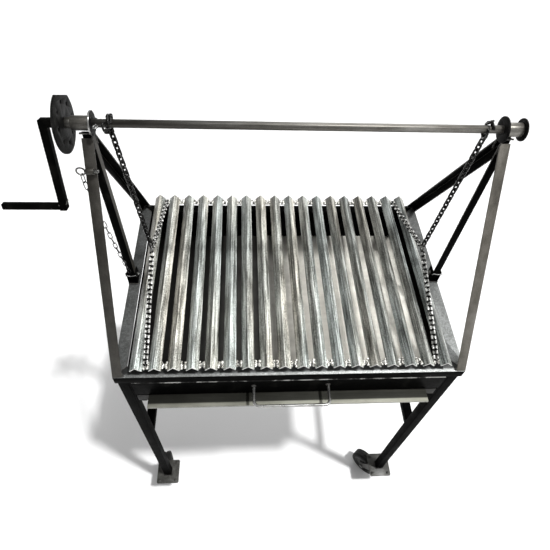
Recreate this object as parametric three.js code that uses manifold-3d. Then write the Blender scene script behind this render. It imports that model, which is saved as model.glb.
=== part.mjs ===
// Charcoal barbecue grill on casters. A crank on the left winds two chains on a cross shaft and
// lifts the V-bar grate, which hangs by a chain bridle on each side. Millimetres, +Z up,
// +X to the right, +Y to the back. The origin is under the middle of the outer box, on the floor.
import * as THREE from "three";
import { mergeVertices } from "three/addons/utils/BufferGeometryUtils.js";
import Module from "manifold-3d";

const wasm = await Module();
wasm.setup();

// Driving dimensions. Heights are measured from the top of the rim unless a name says otherwise.
const rimWidth = 800;
const rimDepth = 540;
const rimFlange = 28;
const rimWeb = 28;
const rearWeb = 96;
const sheet = 3;
const tubeSize = 25;
const tubeWall = 2;
const legLength = 812;
const casterHeight = 128;
const shaftHeight = 462;
const shaftDiameter = 15;
const gap = 0.3;

const grate = {
  bars: 18,
  sideMargin: 54.9,
  leg: 20,
  thickness: 3,
  endMargin: 1,
  peak: 42,
  rodDiameter: 8,
  rodBite: 2,
  rodInset: 14,
};
const posts = { leg: 21, middleLeg: 17, apexDrop: 10 };
const bracket = { depth: 26, height: 38 };
const bolt = { height: 24, diameter: 6, across: 10, head: 4 };
const stretcherTop = -384;
const runner = { top: -96, height: 40, flange: 25 };
const hub = { diameter: 26, bore: 15.9, length: 33, inset: 5 };
const disc = {
  radius: 54,
  sides: 20,
  thickness: 5,
  chord: 46,
  chordTurn: 58.3,
  holes: 8,
  holeCircle: 36,
  hole: 3.5,
  firstHole: 73.6,
};
const collar = { radius: 10, length: 10 };
const washer = { thickness: 3, leftInner: 22, rightInner: 24, rightOuter: 21, shaftEnd: 4 };
const crank = { bar: 14, reach: 33, arm: 164, lean: 16.6, handleBar: 12, handleLength: 109, corner: 4 };
const chain = { radius: 6, topInset: 53, ringHeight: 122, ringRadius: 8, ringWire: 2.5 };
const bridle = { radius: 5, endHeight: 32.4 };
const drawer = {
  panelTop: -34,
  panelInset: 2,
  panelClearance: 1.4,
  trayClearance: 9.4,
  trayTop: -38,
  rearInset: 35,
  wall: 2,
  ledge: 12,
};
const firePlate = { columns: 15, rows: 8, marginX: 37.4, marginY: 47.75, hole: 5.5, holeSides: 6 };
const handle = { halfSpan: 88, reach: 48, radius: 3.5, height: -61, corner: 12, steps: 32 };
const ashPan = { clearance: 2.4, depth: 30, rearInset: 20, lipInset: 28, lipReach: 32, hem: 6, wall: 1.5 };
const caster = {
  plateX: 76,
  plateY: 80,
  plateCorner: 6,
  cornerSides: 4,
  plate: 4,
  headRadius: 29,
  head: 10,
  trail: 46,
  cheek: 3,
  cheekFront: 20,
  cheekFoot: 11,
  cheekClearance: 2,
};
const wheel = {
  radius: 50,
  width: 34,
  bossRadius: 14,
  bossWidth: 37,
  webWidth: 22,
  treadDepth: 14,
  corner: 4,
  axleRadius: 5,
};
const wheelAngles = { front_left: 15, front_right: 42, rear_left: 12, rear_right: 20 };
const sleeve = { radius: 6.5, bore: 3.8, length: 14, drop: 75 };
const pin = { radius: 3.5, length: 24, eyeRadius: 8, eyeWire: 1.6 };
const lanyard = {
  radius: 3,
  steps: 20,
  clearance: 0.6,
  firstDrop: 20,
  footRise: 8,
  sag: 6,
  middleShare: 0.5,
};

const roundSides = 24;
const wheelSides = 24;
const smallSides = 12;
const cordSides = 8;
const ringSides = 16;
const hexagonSides = 6;
const weldTolerance = 1e-3;
const unit = 1;
const quarterTurn = Math.PI / 2;
const radians = THREE.MathUtils.degToRad;

// Derived places.
const halfWidth = rimWidth / 2;
const halfDepth = rimDepth / 2;
const halfTube = tubeSize / 2;
const legX = halfWidth - sheet - gap - halfTube;
const legY = halfDepth - sheet - gap - halfTube;
const middleHalf = posts.middleLeg / 2;
const middleX = halfWidth - middleHalf - gap - sheet;
const apexZ = shaftHeight - posts.apexDrop;
const shaftRadius = shaftDiameter / 2;
const hubX = halfWidth - hub.inset;
const hubEnd = hubX + hub.length / 2;
const hubStart = hubX - hub.length / 2;
const chainTopX = halfWidth - chain.topInset;
const sleeveHeight = shaftHeight - sleeve.drop;
const barPitch = (rimWidth - 2 * grate.sideMargin) / (grate.bars - 1);
const grateDepth = rimDepth - 2 * grate.endMargin;
const trayRear = halfDepth - drawer.rearInset;
const panRear = halfDepth - ashPan.rearInset;
const discX = hubEnd + gap + collar.length + gap;
const crankX = discX + disc.thickness + gap;
const armX = crankX + crank.reach;
const handleEndX = armX + crank.bar / 2 + gap + crank.handleLength;
const runnerX = legX - halfTube - gap;
const barHalf = grate.leg * Math.SQRT1_2;
const barEnd = grate.thickness * Math.SQRT1_2;
const barsBottom = grate.peak - barHalf - barEnd;
const trayWidth = 2 * (runnerX - drawer.trayClearance);
const panelWidth = 2 * (runnerX - sheet - drawer.panelClearance);
const ashPanWidth = 2 * (runnerX - sheet - ashPan.clearance);
const lipWidth = ashPanWidth - 2 * ashPan.lipInset;
const rodZ = barsBottom - grate.rodDiameter / 2 + grate.rodBite;
const grooveX = (grate.bars / 2 - 1) * barPitch;
const panelFront = -halfDepth + drawer.panelInset;
const trayFront = panelFront + sheet + gap;
const ringOuter = chain.ringRadius + chain.ringWire;
const axleDrop = casterHeight - wheel.radius;
const wheelFlat = wheel.radius * Math.cos(Math.PI / wheelSides);
const floorZ = -legLength - axleDrop - wheelFlat;
const rearCasterTurn = radians(Math.min(wheelAngles.rear_left, wheelAngles.rear_right));
const rearmostY = legY + (caster.trail + wheelFlat) * Math.cos(rearCasterTurn)
  + (wheel.width / 2 - wheel.corner) * Math.sin(rearCasterTurn);
const foremostY = -halfDepth - handle.reach - handle.radius;
const rightmostX = legX + caster.plateX / 2;
const originX = (rightmostX - handleEndX) / 2;
const originY = (rearmostY + foremostY) / 2;

const metal = (color, roughness) => new THREE.MeshStandardMaterial({ color, roughness, metalness: 0.9 });
const blackSteel = metal(0x24262a, 0.55);
const postSteel = metal(0x77756e, 0.5);
const rimSteel = metal(0x8f908c, 0.5);
const grateSteel = metal(0xb3b3ac, 0.45);
const chainSteel = metal(0x9a9b98, 0.4);
const rodSteel = metal(0xb9bcbc, 0.3);
const panSteel = metal(0x6f7069, 0.5);
const rubber = new THREE.MeshStandardMaterial({ color: 0x2b2c2e, roughness: 0.85, metalness: 0 });

const axisX = new THREE.Vector3(1, 0, 0);
const axisY = new THREE.Vector3(0, 1, 0);
const axisZ = new THREE.Vector3(0, 0, 1);

const grill = new THREE.Group();
const aboveFloor = new THREE.Group();
aboveFloor.position.set(-originX, -originY, -floorZ);
grill.add(aboveFloor);

function add(name, geometry, material, parent = aboveFloor) {
  const mesh = new THREE.Mesh(geometry, material);
  mesh.name = name;
  parent.add(mesh);
  return mesh;
}

// Joins and cuts. A closed mesh becomes a solid and comes back as a mesh.
function toSolid(geometry) {
  const bare = geometry.clone();
  for (const name of Object.keys(bare.attributes)) {
    if (name !== "position") bare.deleteAttribute(name);
  }
  const merged = mergeVertices(bare, weldTolerance);
  return new wasm.Manifold(
    new wasm.Mesh({
      numProp: 3,
      vertProperties: merged.attributes.position.array,
      triVerts: new Uint32Array(merged.index.array),
    }),
  );
}

function toGeometry(solid) {
  const mesh = solid.getMesh();
  return new THREE.BufferGeometry()
    .setAttribute("position", new THREE.BufferAttribute(new Float32Array(mesh.vertProperties), 3))
    .setIndex(new THREE.BufferAttribute(new Uint32Array(mesh.triVerts), 1));
}

const join = (geometries) => toGeometry(geometries.map(toSolid).reduce((sum, next) => sum.add(next)));
const cut = (geometry, tools) =>
  toGeometry(tools.map(toSolid).reduce((left, tool) => left.subtract(tool), toSolid(geometry)));

// A box between two opposite corners.
function box(low, high) {
  const size = high.map((value, i) => value - low[i]);
  const middle = high.map((value, i) => (value + low[i]) / 2);
  return new THREE.BoxGeometry(...size).translate(...middle);
}

// A box that is symmetrical in X.
const wideBox = (width, y, z) => box([-width / 2, y[0], z[0]], [width / 2, y[1], z[1]]);

const outlineShape = (points) => new THREE.Shape(points.map(([a, b]) => new THREE.Vector2(a, b)));
const circlePath = (x, y, radius) => new THREE.Path().absarc(x, y, radius, 0, 2 * Math.PI);

// A prism of a flat shape. A full circle in the shape gets the given number of sides.
function prism(shape, depth, circleSides = smallSides) {
  return new THREE.ExtrudeGeometry(shape, { depth, bevelEnabled: false, curveSegments: circleSides / 2 });
}

// A prism whose outline lies in X and Z, running along Y.
function prismAlongY(shape, from, to) {
  const turn = new THREE.Matrix4().makeBasis(axisX, axisZ, axisY.clone().negate());
  return prism(shape, to - from).applyMatrix4(turn).translate(0, to, 0);
}

// A prism whose outline lies in Y and Z, running along X.
function prismAlongX(shape, from, to, circleSides) {
  const turn = new THREE.Matrix4().makeBasis(axisY, axisZ, axisX);
  return prism(shape, to - from, circleSides).applyMatrix4(turn).translate(from, 0, 0);
}

function roundBar(from, to, radius, sides) {
  const along = new THREE.Vector3().subVectors(to, from);
  const turn = new THREE.Quaternion().setFromUnitVectors(axisY, along.clone().normalize());
  return new THREE.CylinderGeometry(radius, radius, along.length(), sides)
    .applyQuaternion(turn)
    .translate(...from.clone().add(to).divideScalar(2));
}

const barAlongX = (from, to, y, z, radius, sides = roundSides) =>
  roundBar(new THREE.Vector3(from, y, z), new THREE.Vector3(to, y, z), radius, sides);

// A turned solid about the X axis, from a profile of [x, radius].
function turned(profile, sides = roundSides) {
  const points = profile.map(([x, radius]) => new THREE.Vector2(radius, x));
  return new THREE.LatheGeometry(points, sides).rotateZ(-quarterTurn);
}

const ringProfile = (from, to, inner, outer) => [
  [from, inner],
  [from, outer],
  [to, outer],
  [to, inner],
  [from, inner],
];

function squareRing(half, wall) {
  const square = (size) => [[-size, -size], [size, -size], [size, size], [-size, size]];
  const shape = outlineShape(square(half));
  shape.holes.push(new THREE.Path(square(half - wall).map(([a, b]) => new THREE.Vector2(a, b))));
  return shape;
}

// A vertical square tube.
const uprightTube = (from, to) => prism(squareRing(halfTube, tubeWall), to - from).translate(0, 0, from);

// Rim: four angle rails, mitred at the corners. The flange is on top, the web hangs on the outside.
function railGeometry(length, web) {
  const section = outlineShape([
    [0, -web],
    [sheet, -web],
    [sheet, -sheet],
    [rimFlange, -sheet],
    [rimFlange, 0],
    [0, 0],
  ]);
  const rail = prismAlongX(section, -unit, unit);
  const place = rail.attributes.position;
  for (let i = 0; i < place.count; i++) {
    place.setX(i, place.getX(i) * (length / 2 - place.getY(i) - gap / 2));
  }
  return rail;
}

function addRail(side, length, x, y, turn, web = rimWeb) {
  const rail = add("rim_" + side, railGeometry(length, web), rimSteel);
  rail.position.set(x, y, 0);
  rail.rotation.z = turn;
}
addRail("front", rimWidth, 0, -halfDepth, 0);
addRail("rear", rimWidth, 0, halfDepth, 2 * quarterTurn, rearWeb);
addRail("left", rimDepth, -halfWidth, 0, -quarterTurn);
addRail("right", rimDepth, halfWidth, 0, quarterTurn);

// An angle section in its corner's own frame.
const angleOutline = (leg) => [[0, 0], [leg, 0], [leg, sheet], [sheet, sheet], [sheet, leg], [0, leg]];

// Sloping posts: angle bars between a corner of the rim and the middle post. The faces that meet in
// the bar's corner are flush with the rim's outer faces at the foot.
function slopingPost(sideX, sideY) {
  const foot = new THREE.Vector3(sideX * halfWidth, sideY * halfDepth, 0);
  const apex = new THREE.Vector3(sideX * halfWidth, 0, apexZ);
  const along = new THREE.Vector3().subVectors(apex, foot).normalize();
  const other = new THREE.Vector3().crossVectors(along, axisX);
  const outline = angleOutline(posts.leg).map(([a, b]) => [-sideX * a, -sideY * b]);
  const bar = prism(outlineShape(outline), unit);
  const place = bar.attributes.position;
  const corner = new THREE.Vector3();
  for (let i = 0; i < place.count; i++) {
    corner.copy(foot).addScaledVector(axisX, place.getX(i)).addScaledVector(other, place.getY(i));
    const atTop = place.getZ(i) > 0;
    const distance = atTop
      ? (sideY * (middleHalf + gap) - corner.y) / along.y
      : (gap - corner.z) / along.z;
    corner.addScaledVector(along, distance);
    place.setXYZ(i, corner.x, corner.y, corner.z);
  }
  return bar;
}

// Sides: bracket, posts, hub, side wall with its runner, and stretcher of one side.
function addSide(side, sideX) {
  const sideMiddleX = sideX * middleX;
  const plateIn = middleHalf + gap;
  const plateOut = plateIn + sheet;
  const forkOutline = [
    [-plateOut, gap],
    [plateOut, gap],
    [plateOut, bracket.height],
    [plateIn, bracket.height],
    [plateIn, gap + sheet],
    [-plateIn, gap + sheet],
    [-plateIn, bracket.height],
    [-plateOut, bracket.height],
  ];
  const fork = prismAlongY(outlineShape(forkOutline), -bracket.depth / 2, bracket.depth / 2);
  const boltHole = barAlongX(-tubeSize, tubeSize, 0, bolt.height, bolt.diameter / 2 + gap, smallSides);
  add("post_bracket_" + side, cut(fork, [boltHole]), blackSteel).position.x = sideMiddleX;

  const middleFrom = 2 * gap + sheet;
  const middleLength = shaftHeight - hub.diameter / 2 - gap - middleFrom;
  const middleSection = angleOutline(posts.middleLeg).map(([a, b]) => [middleHalf - a, b - middleHalf]);
  const middleBar = prism(outlineShape(middleSection), middleLength).translate(0, 0, middleFrom);
  add("middle_post_" + side, cut(middleBar, [boltHole]), blackSteel).position.x = sideMiddleX;

  const headFrom = plateOut + gap;
  const headTo = headFrom + bolt.head;
  const hexagon = (from, to) => barAlongX(from, to, 0, bolt.height, bolt.across / 2, hexagonSides);
  const boltParts = [
    barAlongX(-headTo, headTo, 0, bolt.height, bolt.diameter / 2, smallSides),
    hexagon(headFrom, headTo),
    hexagon(-headTo, -headFrom),
  ];
  add("post_bolt_" + side, join(boltParts), chainSteel).position.x = sideMiddleX;

  add("front_post_" + side, slopingPost(sideX, -1), postSteel);
  add("rear_post_" + side, slopingPost(sideX, 1), blackSteel);

  const hubTube = turned(ringProfile(-hub.length / 2, hub.length / 2, hub.bore / 2, hub.diameter / 2));
  add("shaft_hub_" + side, hubTube, postSteel).position.set(sideX * hubX, 0, shaftHeight);

  const channelSection = [
    [runnerX, -sheet - gap],
    [runnerX, runner.top - runner.height],
    [runnerX - runner.flange, runner.top - runner.height],
    [runnerX - runner.flange, runner.top - runner.height + sheet],
    [runnerX - sheet, runner.top - runner.height + sheet],
    [runnerX - sheet, runner.top - sheet],
    [runnerX - runner.flange, runner.top - sheet],
    [runnerX - runner.flange, runner.top],
    [runnerX - sheet, runner.top],
    [runnerX - sheet, -sheet - gap],
  ].map(([x, z]) => [x * sideX, z]);
  const runnerEnd = legY + halfTube;
  add("drawer_runner_" + side, prismAlongY(outlineShape(channelSection), -runnerEnd, runnerEnd), blackSteel);

  const between = legY - halfTube - gap;
  const stretcher = prismAlongY(squareRing(halfTube, tubeWall), -between, between);
  add("side_stretcher_" + side, stretcher, blackSteel).position.set(sideX * legX, 0, stretcherTop - halfTube);
}
addSide("left", -1);
addSide("right", 1);

// Casters: a top plate on the leg, a fork that swivels under it and a wheel in the fork.
function roundedPlate(width, depth, radius) {
  const shape = new THREE.Shape();
  const x = width / 2 - radius;
  const y = depth / 2 - radius;
  shape.absarc(x, y, radius, 0, quarterTurn);
  shape.absarc(-x, y, radius, quarterTurn, 2 * quarterTurn);
  shape.absarc(-x, -y, radius, 2 * quarterTurn, 3 * quarterTurn);
  shape.absarc(x, -y, radius, 3 * quarterTurn, 4 * quarterTurn);
  return shape;
}

// The fork's outline in the plane of the wheel: the wheel trails in +Y.
function cheekShape() {
  const top = -caster.plate - gap - caster.head;
  const shape = new THREE.Shape();
  shape.moveTo(-caster.cheekFront, top + sheet);
  shape.lineTo(-caster.cheekFront, top - sheet);
  shape.lineTo(caster.trail - caster.cheekFoot, -axleDrop);
  shape.absarc(caster.trail, -axleDrop, caster.cheekFoot, 2 * quarterTurn, 4 * quarterTurn);
  shape.lineTo(caster.headRadius, top - sheet);
  shape.lineTo(caster.headRadius, top + sheet);
  return shape;
}

function forkGeometry() {
  const top = -caster.plate - gap;
  const inside = wheel.width / 2 + caster.cheekClearance;
  const outside = inside + caster.cheek;
  const bridgeTop = top - caster.head + sheet;
  const bridgeLow = [-outside, -caster.cheekFront, bridgeTop - sheet];
  const bridge = box(bridgeLow, [outside, caster.headRadius, bridgeTop]);
  const head = new THREE.CylinderGeometry(caster.headRadius, caster.headRadius, caster.head, roundSides)
    .rotateX(quarterTurn)
    .translate(0, 0, top - caster.head / 2);
  const axleEnd = outside + sheet;
  const axle = barAlongX(-axleEnd, axleEnd, caster.trail, -axleDrop, wheel.axleRadius, smallSides);
  return join([
    head,
    bridge,
    prismAlongX(cheekShape(), inside, outside),
    prismAlongX(cheekShape(), -outside, -inside),
    axle,
  ]);
}

function wheelGeometry() {
  const { radius, width, corner, bossRadius, bossWidth, webWidth, treadDepth } = wheel;
  const bore = wheel.axleRadius + gap;
  const tread = radius - treadDepth;
  const half = [
    [bossWidth / 2, bore],
    [bossWidth / 2, bossRadius],
    [webWidth / 2, bossRadius],
    [webWidth / 2, tread],
    [width / 2, tread],
    [width / 2, radius - corner],
    [width / 2 - corner, radius],
  ];
  const mirrored = half.map(([x, r]) => [-x, r]);
  const profile = [...mirrored, ...half.reverse(), mirrored[0]];
  return turned(profile, wheelSides).rotateX(Math.PI / wheelSides);
}

function addCaster(corner, sideX, sideY) {
  const swivel = new THREE.Group();
  swivel.position.set(sideX * legX, sideY * legY, -legLength);
  aboveFloor.add(swivel);
  const outline = roundedPlate(caster.plateX, caster.plateY, caster.plateCorner);
  const plate = prism(outline, caster.plate, caster.cornerSides);
  add("caster_plate_" + corner, plate, blackSteel, swivel).position.z = -caster.plate;
  const turning = new THREE.Group();
  turning.rotation.z = radians(wheelAngles[corner]);
  swivel.add(turning);
  add("caster_fork_" + corner, forkGeometry(), chainSteel, turning);
  add("caster_wheel_" + corner, wheelGeometry(), rubber, turning).position.set(0, caster.trail, -axleDrop);
}

for (const [corner, sideX, sideY] of [
  ["front_left", -1, -1],
  ["front_right", 1, -1],
  ["rear_left", -1, 1],
  ["rear_right", 1, 1],
]) {
  const leg = add("leg_" + corner, uprightTube(-legLength + gap, -sheet - gap), blackSteel);
  leg.position.set(sideX * legX, sideY * legY, 0);
  addCaster(corner, sideX, sideY);
}

// Hoist: shaft, index disc, crank and washers turn together about the X axis.
const hoist = new THREE.Group();
hoist.position.z = shaftHeight;
aboveFloor.add(hoist);

function shaftGeometry() {
  const leftEnd = -discX - disc.thickness;
  const rightEnd = hubEnd + gap + washer.thickness + washer.shaftEnd;
  return turned([
    [leftEnd, 0],
    [leftEnd, shaftRadius],
    [-discX + gap, shaftRadius],
    [-discX + gap, collar.radius],
    [-hubEnd - gap, collar.radius],
    [-hubEnd - gap, shaftRadius],
    [rightEnd, shaftRadius],
    [rightEnd, 0],
  ]);
}

function discGeometry() {
  const turn = radians(disc.chordTurn);
  const chordAngle = Math.acos(disc.chord / disc.radius);
  const shape = new THREE.Shape();
  shape.absarc(0, 0, disc.radius, turn + chordAngle, turn + 2 * Math.PI - chordAngle);
  shape.holes.push(circlePath(0, 0, shaftRadius + gap));
  for (let i = 0; i < disc.holes; i++) {
    const angle = radians(disc.firstHole) + (i * 2 * Math.PI) / disc.holes;
    const y = disc.holeCircle * Math.cos(angle);
    const z = disc.holeCircle * Math.sin(angle);
    shape.holes.push(circlePath(y, z, disc.hole));
  }
  return prismAlongX(shape, -discX - disc.thickness, -discX, disc.sides);
}

function crankArmShape() {
  const half = crank.bar / 2;
  const outer = crank.reach + half;
  const inner = crank.reach - half;
  const bottom = crank.arm + half;
  const shape = new THREE.Shape();
  shape.moveTo(0, half);
  shape.lineTo(-outer + crank.corner, half);
  shape.quadraticCurveTo(-outer, half, -outer, half - crank.corner);
  shape.lineTo(-outer, -bottom);
  shape.lineTo(-inner - crank.corner, -bottom);
  shape.quadraticCurveTo(-inner, -bottom, -inner, -bottom + crank.corner);
  shape.lineTo(-inner, -half - crank.corner);
  shape.quadraticCurveTo(-inner, -half, -inner + crank.corner, -half);
  shape.lineTo(0, -half);
  return shape;
}

add("crank_shaft", shaftGeometry(), postSteel, hoist);
add("index_disc", discGeometry(), blackSteel, hoist);
const crankGroup = new THREE.Group();
crankGroup.position.x = -crankX;
crankGroup.rotation.x = -radians(crank.lean);
hoist.add(crankGroup);
const armGeometry = prismAlongY(crankArmShape(), -crank.bar / 2, crank.bar / 2);
add("crank_arm", armGeometry, blackSteel, crankGroup);
const handleHalf = crank.handleBar / 2;
const handleFrom = -crank.reach - crank.bar / 2 - gap;
const crankHandle = box(
  [handleFrom - crank.handleLength, -handleHalf, -crank.arm - handleHalf],
  [handleFrom, handleHalf, -crank.arm + handleHalf],
);
add("crank_handle", crankHandle, blackSteel, crankGroup);

function addWasher(name, from, radius) {
  const profile = ringProfile(from, from + washer.thickness, shaftRadius + gap, radius);
  add(name, turned(profile), chainSteel, hoist);
}
addWasher("inner_washer_left", -hubStart + gap, washer.leftInner);
addWasher("inner_washer_right", hubStart - gap - washer.thickness, washer.rightInner);
addWasher("outer_washer_right", hubEnd + gap, washer.rightOuter);

// Chains. Each stands for its row of links with a plain round bar of the same width.
function addChains(side, sideX) {
  const ringCentre = new THREE.Vector3(sideX * grooveX, 0, chain.ringHeight);
  const ring = new THREE.TorusGeometry(chain.ringRadius, chain.ringWire, cordSides, ringSides);
  add("chain_ring_" + side, ring.rotateY(quarterTurn).translate(...ringCentre), chainSteel);
  const tilt = (chain.radius * (chainTopX - grooveX)) / (shaftHeight - chain.ringHeight);
  const top = new THREE.Vector3(sideX * chainTopX, 0, shaftHeight - shaftRadius - gap - tilt);
  const bottom = ringCentre.clone().addScaledVector(axisZ, ringOuter + gap + tilt);
  add("hoist_chain_" + side, roundBar(bottom, top, chain.radius, smallSides), chainSteel);
  const footY = grateDepth / 2 - grate.rodInset;
  for (const [end, sideY] of [["front", -1], ["rear", 1]]) {
    const foot = new THREE.Vector3(ringCentre.x, sideY * footY, bridle.endHeight);
    const along = new THREE.Vector3().subVectors(foot, ringCentre).normalize();
    const start = ringCentre.clone().addScaledVector(along, ringOuter + gap);
    const name = "bridle_chain_" + end + "_" + side;
    add(name, roundBar(start, foot, bridle.radius, smallSides), chainSteel);
  }
}
addChains("left", -1);
addChains("right", 1);

// Grate: inverted-V bars welded on a cross rod at the front and one at the rear.
function grateGeometry() {
  const inner = grate.thickness * Math.SQRT2;
  const section = outlineShape([
    [0, grate.peak],
    [-barHalf, grate.peak - barHalf],
    [-barHalf + barEnd, grate.peak - barHalf - barEnd],
    [0, grate.peak - inner],
    [barHalf - barEnd, grate.peak - barHalf - barEnd],
    [barHalf, grate.peak - barHalf],
  ]);
  const halfRow = ((grate.bars - 1) / 2) * barPitch;
  const pieces = [];
  for (let i = 0; i < grate.bars; i++) {
    const bar = prismAlongY(section, -grateDepth / 2, grateDepth / 2);
    pieces.push(bar.translate(i * barPitch - halfRow, 0, 0));
  }
  const rodEnd = halfRow + barHalf - barEnd;
  const rodY = grateDepth / 2 - grate.rodInset;
  for (const y of [-rodY, rodY]) {
    pieces.push(barAlongX(-rodEnd, rodEnd, y, rodZ, grate.rodDiameter / 2, cordSides));
  }
  return join(pieces);
}
add("grate", grateGeometry(), grateSteel);

// Fire drawer: an open frame of walls with a ledge for the pierced fire plate, a front and a handle.
const trayBottom = runner.top + gap;
const ledgeTop = trayBottom + drawer.wall;
const innerWidth = trayWidth - 2 * drawer.wall;
const innerY = [trayFront + drawer.wall, trayRear - drawer.wall];
const trayOutside = wideBox(trayWidth, [trayFront, trayRear], [trayBottom, drawer.trayTop]);
const trayInside = wideBox(innerWidth, innerY, [ledgeTop, drawer.trayTop + sheet]);
const trayWindow = wideBox(
  innerWidth - 2 * drawer.ledge,
  [innerY[0] + drawer.ledge, innerY[1] - drawer.ledge],
  [trayBottom - sheet, ledgeTop + sheet],
);
add("fire_drawer_tray", cut(trayOutside, [trayInside, trayWindow]), blackSteel);

function firePlateGeometry() {
  const halfX = innerWidth / 2 - 2 * gap;
  const [front, rear] = [innerY[0] + 2 * gap, innerY[1] - 2 * gap];
  const plate = outlineShape([[-halfX, front], [halfX, front], [halfX, rear], [-halfX, rear]]);
  const pitchX = (2 * (halfX - firePlate.marginX)) / (firePlate.columns - 1);
  const pitchY = (rear - front - 2 * firePlate.marginY) / (firePlate.rows - 1);
  for (let i = 0; i < firePlate.columns; i++) {
    for (let j = 0; j < firePlate.rows; j++) {
      const x = firePlate.marginX - halfX + i * pitchX;
      const y = front + firePlate.marginY + j * pitchY;
      plate.holes.push(circlePath(x, y, firePlate.hole));
    }
  }
  return prism(plate, drawer.wall, firePlate.holeSides).translate(0, 0, ledgeTop + gap);
}
add("fire_plate", firePlateGeometry(), panSteel);
const panel = wideBox(panelWidth, [panelFront, panelFront + sheet], [trayBottom, drawer.panelTop]);
add("fire_drawer_front", panel, blackSteel);

function handleGeometry() {
  const back = panelFront - gap;
  const front = -halfDepth - handle.reach;
  const corner = (x, y) => new THREE.Vector3(x, y, handle.height);
  const { halfSpan, corner: bend } = handle;
  const route = new THREE.CurvePath();
  route.add(new THREE.LineCurve3(corner(-halfSpan, back), corner(-halfSpan, front + bend)));
  route.add(new THREE.QuadraticBezierCurve3(
    corner(-halfSpan, front + bend), corner(-halfSpan, front), corner(-halfSpan + bend, front)));
  route.add(new THREE.LineCurve3(corner(-halfSpan + bend, front), corner(halfSpan - bend, front)));
  route.add(new THREE.QuadraticBezierCurve3(
    corner(halfSpan - bend, front), corner(halfSpan, front), corner(halfSpan, front + bend)));
  route.add(new THREE.LineCurve3(corner(halfSpan, front + bend), corner(halfSpan, back)));
  return tubeAlong(route, handle.radius, handle.steps);
}

function tubeAlong(route, radius, steps) {
  const section = outlineShape(
    Array.from({ length: cordSides }, (_, i) => {
      const angle = (i * 2 * Math.PI) / cordSides;
      return [radius * Math.cos(angle), radius * Math.sin(angle)];
    }),
  );
  return new THREE.ExtrudeGeometry(section, { steps, extrudePath: route, bevelEnabled: false });
}
add("fire_drawer_handle", handleGeometry(), rodSteel);

// Ash pan: slides in the channel of the runners and has a hemmed lip at the front.
function ashPanGeometry() {
  const bottom = runner.top - runner.height + sheet + gap;
  const top = bottom + ashPan.depth;
  const front = -legY - halfTube;
  const lipY = [front - ashPan.lipReach, front + ashPan.wall];
  const { wall } = ashPan;
  const body = cut(wideBox(ashPanWidth, [front, panRear], [bottom, top]), [
    wideBox(ashPanWidth - 2 * wall, [front + wall, panRear - wall], [bottom + wall, top + wall]),
  ]);
  const lip = wideBox(lipWidth, lipY, [top - wall, top]);
  const hem = wideBox(lipWidth, [lipY[0], lipY[0] + wall], [top - ashPan.hem, top]);
  return join([body, lip, hem]);
}
add("ash_pan", ashPanGeometry(), panSteel);

// Lock pin: it slides in a sleeve on the front of the left front post, and hangs on a lanyard.
const postSlope = new THREE.Vector2(halfDepth, apexZ).normalize();
const sleeveX = posts.leg / 2 - halfWidth;
const sleeveOut = sleeve.radius + gap;
const sleeveY = -halfDepth * (1 - sleeveHeight / apexZ) - sleeveOut * postSlope.y;
const sleeveZ = sleeveHeight + sleeveOut * postSlope.x;
const pinGroup = new THREE.Group();
pinGroup.position.set(sleeveX, sleeveY, sleeveZ);
aboveFloor.add(pinGroup);
const sleeveProfile = ringProfile(-sleeve.length / 2, sleeve.length / 2, sleeve.bore, sleeve.radius);
add("pin_sleeve", turned(sleeveProfile, ringSides), postSteel, pinGroup);
const pinLeft = -sleeve.length / 2 - pin.eyeWire;
const eyeX = pinLeft - pin.eyeRadius;
const eye = new THREE.TorusGeometry(pin.eyeRadius, pin.eyeWire, cordSides, ringSides).rotateX(quarterTurn);
const shank = barAlongX(pinLeft - pin.eyeWire, pinLeft + pin.length, 0, 0, pin.radius, smallSides);
add("lock_pin", join([eye.translate(eyeX, 0, 0), shank]), rodSteel, pinGroup);

function lanyardGeometry() {
  const eyeBottom = sleeveZ - pin.eyeRadius - pin.eyeWire;
  const start = new THREE.Vector3(sleeveX + eyeX, sleeveY, eyeBottom - lanyard.clearance);
  const below = start.clone().addScaledVector(axisZ, -lanyard.firstDrop);
  const footY = -middleHalf - lanyard.radius - gap;
  const foot = new THREE.Vector3(-middleX, footY, bracket.height + lanyard.footRise);
  const middle = below.clone().lerp(foot, lanyard.middleShare).addScaledVector(axisY, -lanyard.sag);
  return tubeAlong(new THREE.CatmullRomCurve3([start, below, middle, foot]), lanyard.radius, lanyard.steps);
}
add("lanyard", lanyardGeometry(), chainSteel);

export default grill;
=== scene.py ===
import math
import random

import bmesh
import bpy
from mathutils import Matrix, Vector


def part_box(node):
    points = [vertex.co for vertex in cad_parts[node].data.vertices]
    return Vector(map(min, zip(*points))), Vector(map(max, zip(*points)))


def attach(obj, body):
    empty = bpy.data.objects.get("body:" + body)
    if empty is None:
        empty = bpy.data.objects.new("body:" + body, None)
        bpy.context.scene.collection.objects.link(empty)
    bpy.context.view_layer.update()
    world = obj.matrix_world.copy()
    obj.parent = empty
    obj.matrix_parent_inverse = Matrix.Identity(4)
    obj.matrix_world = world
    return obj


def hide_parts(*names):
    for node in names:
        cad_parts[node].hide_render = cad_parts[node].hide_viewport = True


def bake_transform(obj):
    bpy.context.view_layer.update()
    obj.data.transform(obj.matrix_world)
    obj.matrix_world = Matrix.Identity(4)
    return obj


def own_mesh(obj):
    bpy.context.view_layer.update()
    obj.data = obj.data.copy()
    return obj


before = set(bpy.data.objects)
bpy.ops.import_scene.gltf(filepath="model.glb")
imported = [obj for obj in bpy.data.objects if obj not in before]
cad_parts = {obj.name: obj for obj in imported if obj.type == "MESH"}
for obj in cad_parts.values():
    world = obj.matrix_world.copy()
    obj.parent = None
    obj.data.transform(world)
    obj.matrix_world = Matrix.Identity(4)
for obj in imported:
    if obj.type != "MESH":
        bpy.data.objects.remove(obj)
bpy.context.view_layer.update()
quarter = math.pi / 2
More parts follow.
